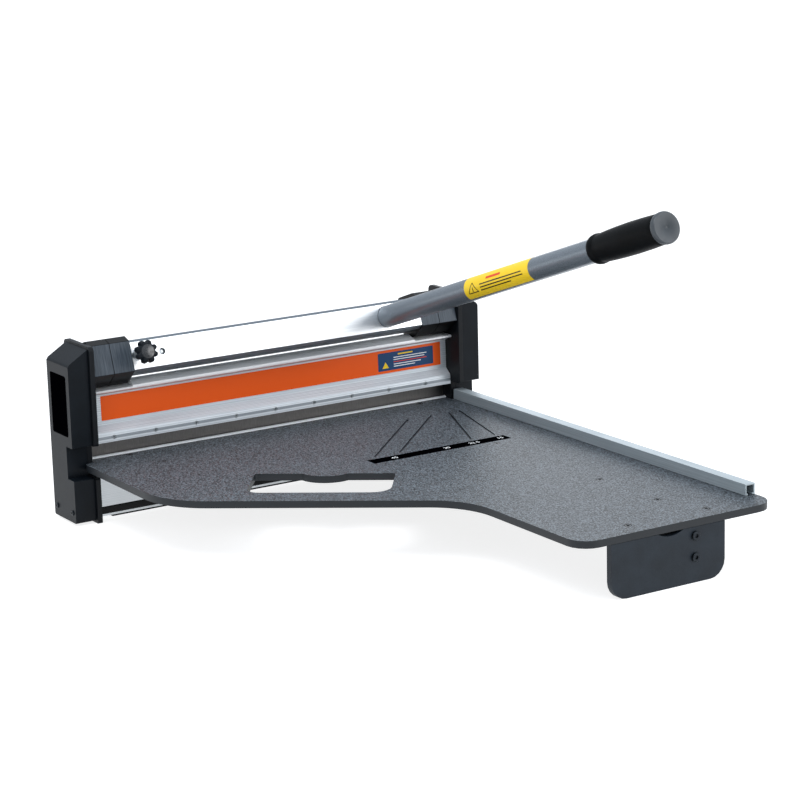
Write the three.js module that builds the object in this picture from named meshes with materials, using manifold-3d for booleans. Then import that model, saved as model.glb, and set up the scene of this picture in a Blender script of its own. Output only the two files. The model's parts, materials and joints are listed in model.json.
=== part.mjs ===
// A lever guillotine for flooring boards: a 460 mm blade in a sliding carrier, pushed down by four
// eccentric cams on a lever beam, over an anvil and a flat table with a side fence.
// Units are millimetres. X runs along the blade, +Y to the rear, +Z up. The origin lies on the
// floor under the middle of the cut line.
import * as THREE from "three";
import { mergeVertices } from "three/addons/utils/BufferGeometryUtils.js";
import Module from "manifold-3d";

const wasm = await Module();
wasm.setup();

// ---- driving dimensions -------------------------------------------------------------------
const GAP = 0.3; // between pieces that touch
const CUT_HALF = 230; // half the cut width: inner faces of the side plates
const PLATE_T = 5.5;
const PLATE_FRONT = -35;
const PLATE_REAR = 27.5;
const PLATE_TOP = 192.5;
const NOTCH_LOW = 50; // the mouth in the plates and covers that lets the table in
const NOTCH_HIGH = 85.5;
const NOTCH_DEPTH = -17;
const COVER_OUT = 259.5;
const COVER_FRONT = -31.5;
const COVER_REAR = 21.5;
const COVER_BOTTOM = 3;
const COVER_WALL = 2.5;
const ROOF_IN = 190.5; // roof height at the side plate
const ROOF_OUT = 175.5; // and at the outer face

const TABLE_TOP = 64;
const TABLE_T = 7.5;
const TABLE_BACK = -7.3;
const TABLE_FRONT = -573.6;
const TABLE_LEFT = -241;
const TABLE_RIGHT = 243.8;
const TABLE_STEP_X = 5; // inner edge of the long right arm
const SLOPE = Math.atan(0.746); // the slanted front edge and the hand slot, from the X axis

const PANEL_Y = -24; // front of the base beam
const BASE_BOTTOM = 4;
const RECESS = 10; // depth of the dark channel along the foot of the base beam
const BASE_END = CUT_HALF - GAP;

const BLADE_FRONT = 0.2;
const BLADE_T = 3;
const BLADE_EDGE = 62;
const STROKE = 15; // blade travel, equal to the cams' eccentricity over 60 degrees
const CARRIER_TOP = 140.6;

const TILT = THREE.MathUtils.degToRad(18.37); // lever beam face and handle at rest
const CAM_Y = -3; // centre of the cams' round side at rest
const CAM_Z = 167;
const CAM_R = 26;
const PIVOT = [13, 7.5]; // fixed pivot axis, measured from the cam centre, in Y and Z
const PIN_R = 7;
const BEAM_HALF = 182;
const CAM_LONG = 23.5;
const FACE = 25.7; // beam's front face, from the cam centre
const HANDLE_X = 139;
const TUBE_R = 12.5;
const GRIP_FROM = 443;
const GRIP_TO = 552;
const KNOB_X = -176;

// ---- colours and finishes -----------------------------------------------------------------
const FINISHES = {
  coated_black: [0x23282d, 0.5, 0.1],
  black_plastic: [0x1b1f23, 0.45, 0],
  bare_aluminium: [0xd5d8da, 0.35, 1],
  blade_steel: [0x8f8c88, 0.4, 1],
  zinc_steel: [0xb4b8ba, 0.35, 1],
  dark_steel: [0x2a2c2f, 0.4, 1],
  spring_steel: [0x6f7274, 0.35, 1],
  bronze: [0xa9793f, 0.4, 1],
  table_board: [0x5a5e62, 0.75, 0],
  board_edge: [0x343b42, 0.6, 0],
  fence_aluminium: [0x9aa5a7, 0.4, 1],
  tube_paint: [0x6f767b, 0.4, 0.3],
  rubber: [0x121315, 0.8, 0],
  scale_film: [0x0c0c0d, 0.5, 0],
};

const part = new THREE.Group();
const lever = new THREE.Group(); // its -Y axis is the handle, its origin the cam centre
lever.position.set(0, CAM_Y, CAM_Z);
lever.rotation.x = -TILT;
part.add(lever);

function add(name, geometry, finish, group = part) {
  const [color, roughness, metalness] = FINISHES[finish];
  const material = new THREE.MeshStandardMaterial({ color, roughness, metalness });
  const mesh = new THREE.Mesh(geometry, material);
  mesh.name = name;
  group.add(mesh);
}

// ---- shape helpers ------------------------------------------------------------------------

// Corners [a, b, radius] to points; a corner with a radius becomes an arc of short chords.
function outline(corners) {
  const points = [];
  corners.forEach(([a, b, radius = 0], i) => {
    const corner = new THREE.Vector2(a, b);
    if (!radius) {
      points.push(corner);
      return;
    }
    const [pa, pb] = corners[(i + corners.length - 1) % corners.length];
    const [na, nb] = corners[(i + 1) % corners.length];
    const back = new THREE.Vector2(pa - a, pb - b).normalize();
    const on = new THREE.Vector2(na - a, nb - b).normalize();
    const half = Math.acos(THREE.MathUtils.clamp(back.dot(on), -1, 1)) / 2;
    const centre = back
      .clone()
      .add(on)
      .normalize()
      .multiplyScalar(radius / Math.sin(half))
      .add(corner);
    const first = back.multiplyScalar(radius / Math.tan(half)).add(corner).sub(centre);
    const last = on.multiplyScalar(radius / Math.tan(half)).add(corner).sub(centre);
    const turn = Math.atan2(first.cross(last), first.dot(last));
    const chords = radius > 40 ? 10 : 5;
    for (let k = 0; k <= chords; k++) {
      const spoke = first.clone().rotateAround(new THREE.Vector2(), (turn * k) / chords);
      points.push(spoke.add(centre));
    }
  });
  return points;
}

function arc(radius, from, to, chords, a = 0, b = 0) {
  return Array.from({ length: chords + 1 }, (_, k) => {
    const angle = THREE.MathUtils.degToRad(from + ((to - from) * k) / chords);
    return [a + radius * Math.cos(angle), b + radius * Math.sin(angle)];
  });
}

const AXES = {
  x: [[0, 1, 0], [0, 0, 1], [1, 0, 0]], // outline in Y, Z, pushed along +X
  y: [[0, 0, 1], [1, 0, 0], [0, 1, 0]], // outline in Z, X, pushed along +Y
  z: [[1, 0, 0], [0, 1, 0], [0, 0, 1]], // outline in X, Y, pushed along +Z
};

function frameOf(axis, start) {
  const [a, b, c] = AXES[axis].map((v) => new THREE.Vector3(...v));
  const frame = new THREE.Matrix4().makeBasis(a, b, c);
  return frame.setPosition(c.clone().multiplyScalar(start));
}

// A prism: an outline pushed along an axis from start to end, with holes as further outlines.
function prism(axis, corners, start, end, holes = []) {
  const shape = new THREE.Shape(outline(corners));
  shape.holes = holes.map((hole) => new THREE.Path(outline(hole)));
  const settings = { depth: end - start, bevelEnabled: false, steps: 1 };
  const geometry = new THREE.ExtrudeGeometry(shape, settings);
  return geometry.applyMatrix4(frameOf(axis, start));
}

function box(x0, x1, y0, y1, z0, z1) {
  return prism("z", [[x0, y0], [x1, y0], [x1, y1], [x0, y1]], z0, z1);
}

// A turned piece: [distance along the axis, radius] pairs, closed on the axis or on themselves.
function turned(axis, profile, centre = [0, 0, 0], sides = 24) {
  const points = profile.map(([along, radius]) => new THREE.Vector2(radius, along));
  const geometry = new THREE.LatheGeometry(points, sides);
  if (axis === "x") geometry.rotateZ(-Math.PI / 2);
  if (axis === "z") geometry.rotateX(Math.PI / 2);
  return geometryOf(solid(geometry.translate(...centre)));
}

function rod(axis, radius, start, end, centre, sides = 24) {
  const profile = [[start, 0], [start, radius], [end, radius], [end, 0]];
  return turned(axis, profile, centre, sides);
}

function ring(axis, inner, outer, start, end, centre, sides = 24) {
  const profile = [[start, inner], [start, outer], [end, outer], [end, inner], [start, inner]];
  return turned(axis, profile, centre, sides);
}

// Geometry to a manifold solid that faces outwards, and back, for joins and cuts.
function solid(geometry) {
  const bare = new THREE.BufferGeometry();
  bare.setAttribute("position", geometry.getAttribute("position"));
  bare.setIndex(geometry.index);
  const merged = mergeVertices(bare, 1e-4);
  const mesh = new wasm.Mesh({
    numProp: 3,
    vertProperties: merged.attributes.position.array,
    triVerts: new Uint32Array(merged.index.array),
  });
  const made = new wasm.Manifold(mesh);
  if (made.volume() > 0) return made;
  for (let i = 0; i < mesh.triVerts.length; i += 3) {
    const [b, c] = [mesh.triVerts[i + 1], mesh.triVerts[i + 2]];
    mesh.triVerts.set([c, b], i + 1);
  }
  return new wasm.Manifold(mesh);
}

function geometryOf(body) {
  const mesh = body.getMesh();
  const geometry = new THREE.BufferGeometry();
  geometry.setAttribute("position", new THREE.BufferAttribute(mesh.vertProperties, 3));
  geometry.setIndex(new THREE.BufferAttribute(mesh.triVerts, 1));
  return geometry;
}

const cut = (base, ...tools) =>
  geometryOf(tools.reduce((body, tool) => body.subtract(solid(tool)), solid(base)));
const join = (base, ...others) =>
  geometryOf(others.reduce((body, other) => body.add(solid(other)), solid(base)));
const common = (base, other) => geometryOf(solid(base).intersect(solid(other)));

const SIDES = [["left", -1], ["right", 1]];

// Bounds along X that mirror with the side, smaller first.
const span = (sign, near, far) => (sign > 0 ? [near, far] : [-far, -near]);

// A pocket for a screw head with the clearance hole below it, and the screw that fills it.
const HEX_DEPTH = 1.6;
function screw(axis, out, place, size) {
  const { headR, headH, shankR, length } = size;
  const at = (along) => out * along;
  const profile = [[at(headH), 0], [at(headH), headR - 0.5], [at(headH - 0.6), headR]];
  profile.push([0, headR], [0, shankR], [at(-length), shankR], [at(-length), 0]);
  const body = turned(axis, profile, place, 16);
  const deep = [at(headH - HEX_DEPTH), at(headH + 1)].sort((a, b) => a - b);
  return cut(body, rod(axis, headR * 0.48, ...deep, place, 6));
}

// ---- frame --------------------------------------------------------------------------------

function baseBeam() {
  const section = [
    [PANEL_Y, BASE_BOTTOM], [24, BASE_BOTTOM], [24, 62], [5, 62], [5, 52], [-7.2, 52],
    [-7.2, 56.2], [PANEL_Y, 56.2], [PANEL_Y, 14.5], [PANEL_Y + RECESS, 14.5],
    [PANEL_Y + RECESS, 6.5], [PANEL_Y, 6.5],
  ];
  const inside = [
    [-10.5, 8], [20.5, 8], [20.5, 58.5], [8.5, 58.5], [8.5, 48.5], [-20.5, 48.5],
    [-20.5, 18], [-10.5, 18],
  ];
  const holes = BASE_SCREWS_X.map((x) => rod("z", 2, 40, 60, [x, BASE_SCREW_Y, 0], 12));
  return cut(prism("x", section, -BASE_END, BASE_END, [inside]), ...holes);
}

function sidePlate(sign) {
  const [low, high] = span(sign, CUT_HALF, CUT_HALF + PLATE_T);
  const face = [
    [PLATE_FRONT, 0, 2], [PLATE_REAR, 0, 2], [PLATE_REAR, PLATE_TOP, 6],
    [PLATE_FRONT, PLATE_TOP, 5], [PLATE_FRONT, NOTCH_HIGH - 1, 3],
    [NOTCH_DEPTH, NOTCH_HIGH - 1], [NOTCH_DEPTH, NOTCH_LOW], [PLATE_FRONT, NOTCH_LOW, 2],
  ];
  const plate = prism("x", face, low, high);
  const ledge = prism("x", [[-6, 58], [8, 58], [8, 64], [-6, 64]], ...span(sign, 234, 247.5));
  const bore = rod("x", 10, low - 1, high + 1, [0, ...pivotAxis()], 28);
  const window = box(low - 1, high + 1, -5.6, 7.6, 99, 134.5);
  return cut(join(plate, ledge), bore, window);
}

function pivotAxis() {
  return [CAM_Y + PIVOT[0], CAM_Z + PIVOT[1]];
}

// Hollow cover: front and rear walls, outer wall, sloping roof and a mouth for the table.
function cover(sign) {
  const inner = CUT_HALF + PLATE_T + GAP;
  const [low, high] = span(sign, inner, COVER_OUT);
  const walls = (front, rear, bottom, mouthLow, mouthHigh, mouthDepth, round) => [
    [front, bottom, round], [rear, bottom, round], [rear, ROOF_IN + 9, round],
    [front, ROOF_IN + 9, round], [front, mouthHigh, round / 2], [mouthDepth, mouthHigh],
    [mouthDepth, mouthLow], [front, mouthLow, round / 2],
  ];
  const roof = (drop, grow) => {
    const face = [
      [inner - grow, 0], [COVER_OUT - drop, 0], [COVER_OUT - drop, ROOF_OUT - drop - 2],
      [COVER_OUT - drop - 2, ROOF_OUT - drop + 1], [inner - grow, ROOF_IN - drop * 1.15],
    ];
    const mirrored = face.map(([x, z]) => [z, sign * x]);
    return prism("y", mirrored, -60, 60);
  };
  const w = COVER_WALL;
  const shell = walls(COVER_FRONT, COVER_REAR, COVER_BOTTOM, NOTCH_LOW, NOTCH_HIGH, NOTCH_DEPTH, 2);
  const room = walls(COVER_FRONT + w, COVER_REAR - w, COVER_BOTTOM + w, NOTCH_LOW - w,
    NOTCH_HIGH + w, NOTCH_DEPTH + w, 1);
  const outside = common(prism("x", shell, low, high), roof(0, 1));
  const cavity = common(prism("x", room, low - 2, high + 2), roof(w, 2));
  const holes = COVER_SCREWS.map(([y, z]) => rod("x", 2.3, low - 5, high + 5, [0, y, z], 12));
  return cut(outside, cavity, ...holes);
}

const COVER_SCREWS = [[-24, 14], [14, 14]];

// Stubs of material are left round the cover screws, which end in the side plate's face.
function coverScrew(sign, y, z) {
  const size = { headR: 2.9, headH: 1, shankR: 1.8, length: 20.5 };
  return screw("x", sign, [sign * (COVER_OUT + GAP), y, z], size);
}

function frameParts() {
  add("base_beam", baseBeam(), "bare_aluminium");
  const inlay = [
    [PANEL_Y, 6.8], [PANEL_Y + RECESS - GAP, 6.8], [PANEL_Y + RECESS - GAP, 14.2], [PANEL_Y, 14.2],
  ];
  add("base_inlay", prism("x", inlay, -BASE_END, BASE_END), "black_plastic");
  add("foot_strip", box(-210, 210, -17, 17, 0, BASE_BOTTOM - GAP), "rubber");
  const strip = [[-6.9, 52.3], [-0.4, 52.3], [-0.4, TABLE_TOP], [-6.9, TABLE_TOP]];
  add("anvil_strip", prism("x", strip, -BASE_END, BASE_END), "bare_aluminium");
  for (const [side, sign] of SIDES) {
    add(`${side}_side_plate`, sidePlate(sign), "coated_black");
    add(`${side}_cover`, cover(sign), "black_plastic");
    const [low, high] = span(sign, CUT_HALF + 0.2, CUT_HALF + PLATE_T - 0.2);
    add(`${side}_pivot_bush`, ring("x", 7.3, 9.7, low, high, [0, ...pivotAxis()], 28), "bronze");
    COVER_SCREWS.forEach(([y, z], i) => {
      add(`${side}_cover_screw_${i + 1}`, coverScrew(sign, y, z), "dark_steel");
    });
  }
}

// ---- table, fence and leg -----------------------------------------------------------------

const BASE_SCREWS_X = [-185, 188];
const BASE_SCREW_Y = -14;
const BAR_X = 155;
const BAR_SCREWS_Y = [-218, -403, -498];
const BRACKET_SCREWS_X = [77, 173];
const BRACKET_SCREW_Y = -551.5;
const TABLE_SCREWS = [
  ...BASE_SCREWS_X.map((x) => [x, BASE_SCREW_Y]),
  ...BAR_SCREWS_Y.map((y) => [BAR_X, y]),
  ...BRACKET_SCREWS_X.map((x) => [x, BRACKET_SCREW_Y]),
];
const TABLE_SCREW = { headR: 3.6, headH: 1.8, shankR: 1.7, length: 11 };

const SLOT_LONG = 147.3;
const SLOT_WIDE = 72.8;
const SLOT_START = [-115.6, -166.7]; // its rear left corner
const BUMP_HALF = 24; // the finger bump on its rear edge
const BUMP_DEEP = 11;

const SCALE = { x: [5, 180.5], y: [-209.8, -193.4], deep: 0.8 };
const GROOVE_TOP = -71; // where the angle grooves start, in Y
const GROOVE_LOW = -186.5;
// Angle from the fence in degrees, and the X of the groove's rear end.
const GROOVES = [[45, 135], [45, 166.5], [22.5, 190.5], [15, 204.8]];
const GROOVE_WIDE = 2.4;

const FENCE = { x: [230.9, 243.1], z: [TABLE_TOP + GAP, 76], y: [-541.5, -20.5], wall: 1.6 };
const FENCE_BOLTS_Y = [-60, -505];

const LEG = { x: [40.5, 178.3], thick: 7.5, round: 18, bumpX: 111.5 };
const LEG_SCREW_X = 141.2;
const LEG_SCREWS_Z = [47.6, 25.9];
const LEG_SCREW = { headR: 4.6, headH: 2.6, shankR: 2.4, length: 12 };
const BRACKET_T = 3;

// The hand slot: a long hole along the slanted edge, with a bump where the fingers curl.
function handSlot() {
  const local = [
    [0, 0, 3], [0, -SLOT_WIDE, 14], [SLOT_LONG, -SLOT_WIDE, 20], [SLOT_LONG, 0, 3],
  ];
  const radius = (BUMP_HALF ** 2 + BUMP_DEEP ** 2) / (2 * BUMP_DEEP);
  const half = THREE.MathUtils.radToDeg(Math.asin(BUMP_HALF / radius));
  const bump = arc(radius, -90 + half, -90 - half, 10, SLOT_LONG / 2, radius - BUMP_DEEP);
  return [...local, ...bump].map(([a, b, r]) => [
    SLOT_START[0] + a * Math.cos(SLOPE) + b * Math.sin(SLOPE),
    SLOT_START[1] - a * Math.sin(SLOPE) + b * Math.cos(SLOPE),
    r,
  ]);
}

function tableOutline() {
  const slantAt = (x) => -245.7 - (x + 182.7) * Math.tan(SLOPE);
  const tongue = -20.3;
  const inside = CUT_HALF - 0.6;
  return [
    [TABLE_LEFT, slantAt(TABLE_LEFT), 88], [TABLE_STEP_X, slantAt(TABLE_STEP_X), 80],
    [TABLE_STEP_X, TABLE_FRONT, 22], [TABLE_RIGHT, TABLE_FRONT, 22], [TABLE_RIGHT, tongue, 2],
    [inside, tongue], [inside, TABLE_BACK], [-inside, TABLE_BACK], [-inside, tongue],
    [TABLE_LEFT, tongue, 6],
  ];
}

function groove([degrees, x]) {
  const angle = THREE.MathUtils.degToRad(degrees);
  const long = (GROOVE_TOP - GROOVE_LOW) / Math.cos(angle);
  const cutter = box(-GROOVE_WIDE / 2, GROOVE_WIDE / 2, -long, 0, TABLE_TOP - 0.9, TABLE_TOP + 1);
  return cutter.rotateZ(-angle).translate(x, GROOVE_TOP, 0);
}

function tableBoard() {
  const bottom = TABLE_TOP - TABLE_T;
  const board = prism("z", tableOutline(), bottom, TABLE_TOP, [handSlot()]);
  const pocket = TABLE_TOP - TABLE_SCREW.headH - GAP - 0.1;
  const holes = TABLE_SCREWS.flatMap(([x, y]) => [
    rod("z", TABLE_SCREW.headR + GAP, pocket, TABLE_TOP + 1, [x, y, 0], 16),
    rod("z", TABLE_SCREW.shankR + GAP, bottom - 1, TABLE_TOP, [x, y, 0], 12),
  ]);
  const bolts = FENCE_BOLTS_Y.map((y) => rod("z", 2.3, 50, 70, [boltX(), y, 0], 12));
  const inset = box(...SCALE.x, ...SCALE.y, TABLE_TOP - SCALE.deep - GAP, TABLE_TOP + 1);
  return cut(board, inset, ...GROOVES.map(groove), ...holes, ...bolts);
}

const boltX = () => (FENCE.x[0] + FENCE.x[1]) / 2;

// Anodised channel with the slot down, so that T bolts can slide in it.
function fenceRail() {
  const { x, y, z, wall } = FENCE;
  const lip = 3.4;
  const section = [
    [x[0], z[0]], [x[0] + lip, z[0]], [x[0] + lip, z[0] + wall], [x[0] + wall, z[0] + wall],
    [x[0] + wall, z[1] - wall], [x[1] - wall, z[1] - wall], [x[1] - wall, z[0] + wall],
    [x[1] - lip, z[0] + wall], [x[1] - lip, z[0]], [x[1], z[0]], [x[1], z[1]], [x[0], z[1]],
  ];
  return prism("y", section.map(([a, b]) => [b, a]), ...y);
}

function fenceBolt(y) {
  const head = box(boltX() - 4, boltX() + 4, y - 4, y + 4, 66.3, 69.3);
  const shank = rod("z", 2, 52, 67, [boltX(), y, 0], 12);
  return join(head, shank, rod("z", 4.2, 52, TABLE_TOP - TABLE_T - GAP, [boltX(), y, 0], 6));
}

// The leg is the blank cut from the hand slot: its top edge keeps part of the finger bump.
function supportLeg() {
  const top = TABLE_TOP - TABLE_T - GAP;
  const [x0, x1] = LEG.x;
  const radius = (BUMP_HALF ** 2 + BUMP_DEEP ** 2) / (2 * BUMP_DEEP);
  const dip = 52.3 + radius; // centre height of the bump's arc
  const half = THREE.MathUtils.radToDeg(Math.acos((dip - top) / radius));
  const bump = arc(radius, -90 - half, -90 + half, 8, LEG.bumpX, dip);
  const face = [[x0, top], ...bump, [x1, top], [x1, 0, LEG.round], [x0, 0, LEG.round]];
  const plate = prism("y", face.map(([x, z, r]) => [z, x, r]), TABLE_FRONT, legBack());
  const holes = LEG_SCREWS_Z.map((z) => {
    return rod("y", LEG_SCREW.shankR + GAP, TABLE_FRONT - 1, legBack() + 1, [LEG_SCREW_X, 0, z], 12);
  });
  return cut(plate, ...holes);
}

const legBack = () => TABLE_FRONT + LEG.thick;

function legBracket() {
  const top = TABLE_TOP - TABLE_T - GAP;
  const back = legBack() + GAP;
  const section = [
    [back, 20], [back + BRACKET_T, 20], [back + BRACKET_T, top - BRACKET_T],
    [back + 26, top - BRACKET_T], [back + 26, top], [back, top],
  ];
  const angle = prism("x", section, 66, 177);
  const holes = [
    ...LEG_SCREWS_Z.map((z) => rod("y", 2.7, back - 1, back + 5, [LEG_SCREW_X, 0, z], 12)),
    ...BRACKET_SCREWS_X.map((x) => rod("z", 2, 50, 60, [x, BRACKET_SCREW_Y, 0], 12)),
  ];
  return cut(angle, ...holes);
}

function stiffenerBar() {
  const top = TABLE_TOP - TABLE_T - GAP;
  const bar = box(BAR_X - 12, BAR_X + 12, -530, -25, top - 5, top);
  return cut(bar, ...BAR_SCREWS_Y.map((y) => rod("z", 2, 45, 60, [BAR_X, y, 0], 12)));
}

function tableParts() {
  add("table_board", tableBoard(), "table_board");
  const film = [...SCALE.x.map((x, i) => x + (i ? -GAP : GAP))];
  const wide = [...SCALE.y.map((y, i) => y + (i ? -GAP : GAP))];
  add("scale_strip", box(...film, ...wide, TABLE_TOP - SCALE.deep, TABLE_TOP), "scale_film");
  TABLE_SCREWS.forEach(([x, y], i) => {
    const head = TABLE_TOP - TABLE_SCREW.headH - 0.1;
    add(`table_screw_${i + 1}`, screw("z", 1, [x, y, head], TABLE_SCREW), "dark_steel");
  });
  add("stiffener_bar", stiffenerBar(), "coated_black");
  add("leg_bracket", legBracket(), "coated_black");
  add("support_leg", supportLeg(), "board_edge");
  ["upper", "lower"].forEach((name, i) => {
    const place = [LEG_SCREW_X, TABLE_FRONT - GAP, LEG_SCREWS_Z[i]];
    add(`${name}_leg_screw`, screw("y", -1, place, LEG_SCREW), "dark_steel");
  });
  add("fence_rail", fenceRail(), "fence_aluminium");
  ["rear", "front"].forEach((name, i) => {
    add(`${name}_fence_bolt`, fenceBolt(FENCE_BOLTS_Y[i]), "zinc_steel");
  });
}

// ---- blade carrier ------------------------------------------------------------------------

const BLADE_SCREWS = 9;
const BLADE_SCREW_STEP = 49.7;
const BLADE_SCREW_Z = 87.2;
const NOSE_Y = -16.8; // front of the clamping nose that holds the blade
const ROOF_HALF = 179.5; // raised roof between the cams
const bladeScrewX = (i) => -4 + (i - (BLADE_SCREWS - 1) / 2) * BLADE_SCREW_STEP;
const LUG = { x: [229.9, 246], y: [-5, 7], z: [100, 118] };

function bladeCarrier() {
  const slot = [BLADE_FRONT - GAP, BLADE_FRONT + BLADE_T + GAP];
  const section = [
    [NOSE_Y, 89], [NOSE_Y, 82.2], [-1.2, 78.4], [slot[0], 78.4], [slot[0], 100],
    [slot[1], 100], [slot[1], 78.4], [9, 79], [12, 83], [12, CARRIER_TOP - 2],
    [10, CARRIER_TOP], [-19.6, CARRIER_TOP], [-20.8, CARRIER_TOP - 0.6],
    [-20.2, CARRIER_TOP - 2.6], [-18.6, 137.2], [-7.3, 132.8], [-8, 99.8], [-16.1, 93.1],
  ];
  const end = CUT_HALF - 0.4;
  const holes = Array.from({ length: BLADE_SCREWS }, (_, i) => {
    return rod("y", 2.3, NOSE_Y - 2, BLADE_FRONT, [bladeScrewX(i), 0, BLADE_SCREW_Z], 12);
  });
  const roof = [
    [-20.8, CARRIER_TOP - 1.2], [-20.8, 141.4], [-19.8, 142], [-8, 145.9], [-2, 145.2],
    [6, 143.5], [6, CARRIER_TOP - 1.2],
  ];
  const body = join(prism("x", section, -end, end), prism("x", roof, -ROOF_HALF, ROOF_HALF));
  return cut(body, ...holes);
}

// Flat at the front, ground to an edge from the rear.
function blade() {
  const back = BLADE_FRONT + BLADE_T;
  const section = [
    [BLADE_FRONT, BLADE_EDGE], [back, BLADE_EDGE + 6], [back, 99.5], [BLADE_FRONT, 99.5],
  ];
  return prism("x", section, -CUT_HALF + 0.6, CUT_HALF - 0.6);
}

function bladeScrew(x) {
  const place = [x, 0, BLADE_SCREW_Z];
  const body = rod("y", 2, NOSE_Y + 0.4, -0.4, place, 12);
  return cut(body, rod("y", 1.2, NOSE_Y - 1, NOSE_Y + 3, place, 6));
}

function returnSpring(sign) {
  const [low, high] = [64.4, 99.6];
  const [coils, coilR, wireR] = [7, 4.6, 0.8];
  const points = Array.from({ length: coils * 12 + 1 }, (_, i) => {
    const angle = (i / 12) * 2 * Math.PI;
    const z = low + wireR + ((high - low - 2 * wireR) * i) / (coils * 12);
    return new THREE.Vector3(sign * 241 + coilR * Math.cos(angle), 1 + coilR * Math.sin(angle), z);
  });
  const path = new THREE.CatmullRomCurve3(points);
  const wire = new THREE.Shape(arc(wireR, 0, 300, 5).map(([a, b]) => new THREE.Vector2(a, b)));
  const settings = { steps: coils * 12, bevelEnabled: false, extrudePath: path };
  return new THREE.ExtrudeGeometry(wire, settings);
}

function carrierParts() {
  add("blade_carrier", bladeCarrier(), "bare_aluminium");
  add("blade", blade(), "blade_steel");
  for (let i = 0; i < BLADE_SCREWS; i++) {
    add(`blade_screw_${i + 1}`, bladeScrew(bladeScrewX(i)), "dark_steel");
  }
  for (const [side, sign] of SIDES) {
    add(`${side}_lift_lug`, box(...span(sign, ...LUG.x), ...LUG.y, ...LUG.z), "zinc_steel");
    add(`${side}_return_spring`, returnSpring(sign), "spring_steel");
  }
}

// ---- lever, in its own frame: -Y along the handle, the cam centre at the origin -------------

const pivotInLever = () => {
  const [y, z] = PIVOT;
  return [y * Math.cos(TILT) - z * Math.sin(TILT), y * Math.sin(TILT) + z * Math.cos(TILT)];
};

// Round below and behind, where it rolls on the carrier; flat in front, flush with the beam.
function cam(low, high) {
  const [frontTop, frontLow] = [[-26, 16.4, 1], [-26, -16.4, 1]];
  const face = [frontLow, ...arc(CAM_R, 244.3, 420, 22), [-17, 22.9, 1], frontTop];
  const bore = rod("x", PIN_R + GAP, low - 1, high + 1, [0, ...pivotInLever()], 28);
  return cut(prism("x", face, low, high), bore);
}

function leverBeam() {
  const section = [
    [-FACE, 14.2], [-FACE, -15.3, 0.8], [-19.2, -18.9], [8, -18.9], [15, -12], [15, 11],
    [8, 17.2], [-22, 17.2],
  ];
  const inside = [
    [-22.7, 13], [-22.7, -13.6], [-18.4, -15.9], [7, -15.9], [12, -11], [12, 9.5], [7, 14.2],
    [-21.5, 14.2],
  ];
  const tube = prism("x", section, -BEAM_HALF, BEAM_HALF, [inside]);
  return cut(
    tube,
    rod("y", TUBE_R + GAP, -FACE - 5, -FACE + 8, [HANDLE_X, 0, 0], 32),
    rod("y", 3.4, -FACE - 5, -FACE + 8, [KNOB_X, 0, 0], 16),
    rod("y", 3.6, -FACE - 5, -FACE + 8, [KNOB_X + 30, 0, 0], 16),
  );
}

function pivotPin(sign) {
  const at = (x) => sign * x;
  const profile = [
    [at(185), 0], [at(185), PIN_R], [at(236), PIN_R], [at(236), 7.9], [at(237.4), 7.9],
    [at(237.4), 0],
  ];
  return turned("x", profile, [0, ...pivotInLever()], 28);
}

function handleTube() {
  return ring("y", TUBE_R - 2, TUBE_R, -GRIP_TO + 2, -8, [HANDLE_X, 0, 0], 32);
}

function handleGrip() {
  const inner = TUBE_R + GAP;
  const swell = [
    [0, 13.5], [1.2, 14.5], [5, 14.7], [7.5, 14.2], [20, 14.9], [45, 16], [75, 16.4],
    [100, 16], [GRIP_TO - GRIP_FROM, 15.3],
  ];
  const outer = swell.map(([along, radius]) => [-GRIP_FROM - along, radius]);
  const profile = [[-GRIP_FROM, inner], ...outer, [-GRIP_TO, inner], [-GRIP_FROM, inner]];
  return turned("y", profile, [HANDLE_X, 0, 0], 32);
}

function gripEndCap() {
  const end = -GRIP_TO - 7;
  const profile = [
    [end + 0.9, 0], [end + 0.9, 1.6], [end, 2.4], [end, 14.8], [end + 1.4, 16.2],
    [-GRIP_TO - 1.2, 16.2], [-GRIP_TO - GAP, 15.6], [-GRIP_TO - GAP, 9.8], [13 - GRIP_TO, 9.8],
    [13 - GRIP_TO, 0],
  ];
  return turned("y", profile, [HANDLE_X, 0, 0], 32);
}

const KNOB = { back: -39.5, front: -53.5, lobes: 8, radius: 11.4, wave: 1.6 };

function starKnob() {
  const rim = Array.from({ length: KNOB.lobes * 8 }, (_, i) => {
    const angle = (i / (KNOB.lobes * 8)) * 2 * Math.PI;
    const radius = KNOB.radius + KNOB.wave * Math.cos(KNOB.lobes * angle);
    return [radius * Math.cos(angle), KNOB_X + radius * Math.sin(angle)];
  });
  const head = prism("y", rim, KNOB.front, KNOB.back - 4);
  const hub = rod("y", 7, KNOB.back - 5, KNOB.back, [KNOB_X, 0, 0], 24);
  const bore = rod("y", 3.3, -48.3, KNOB.back + 1, [KNOB_X, 0, 0], 16);
  return cut(join(head, hub), bore);
}

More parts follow.
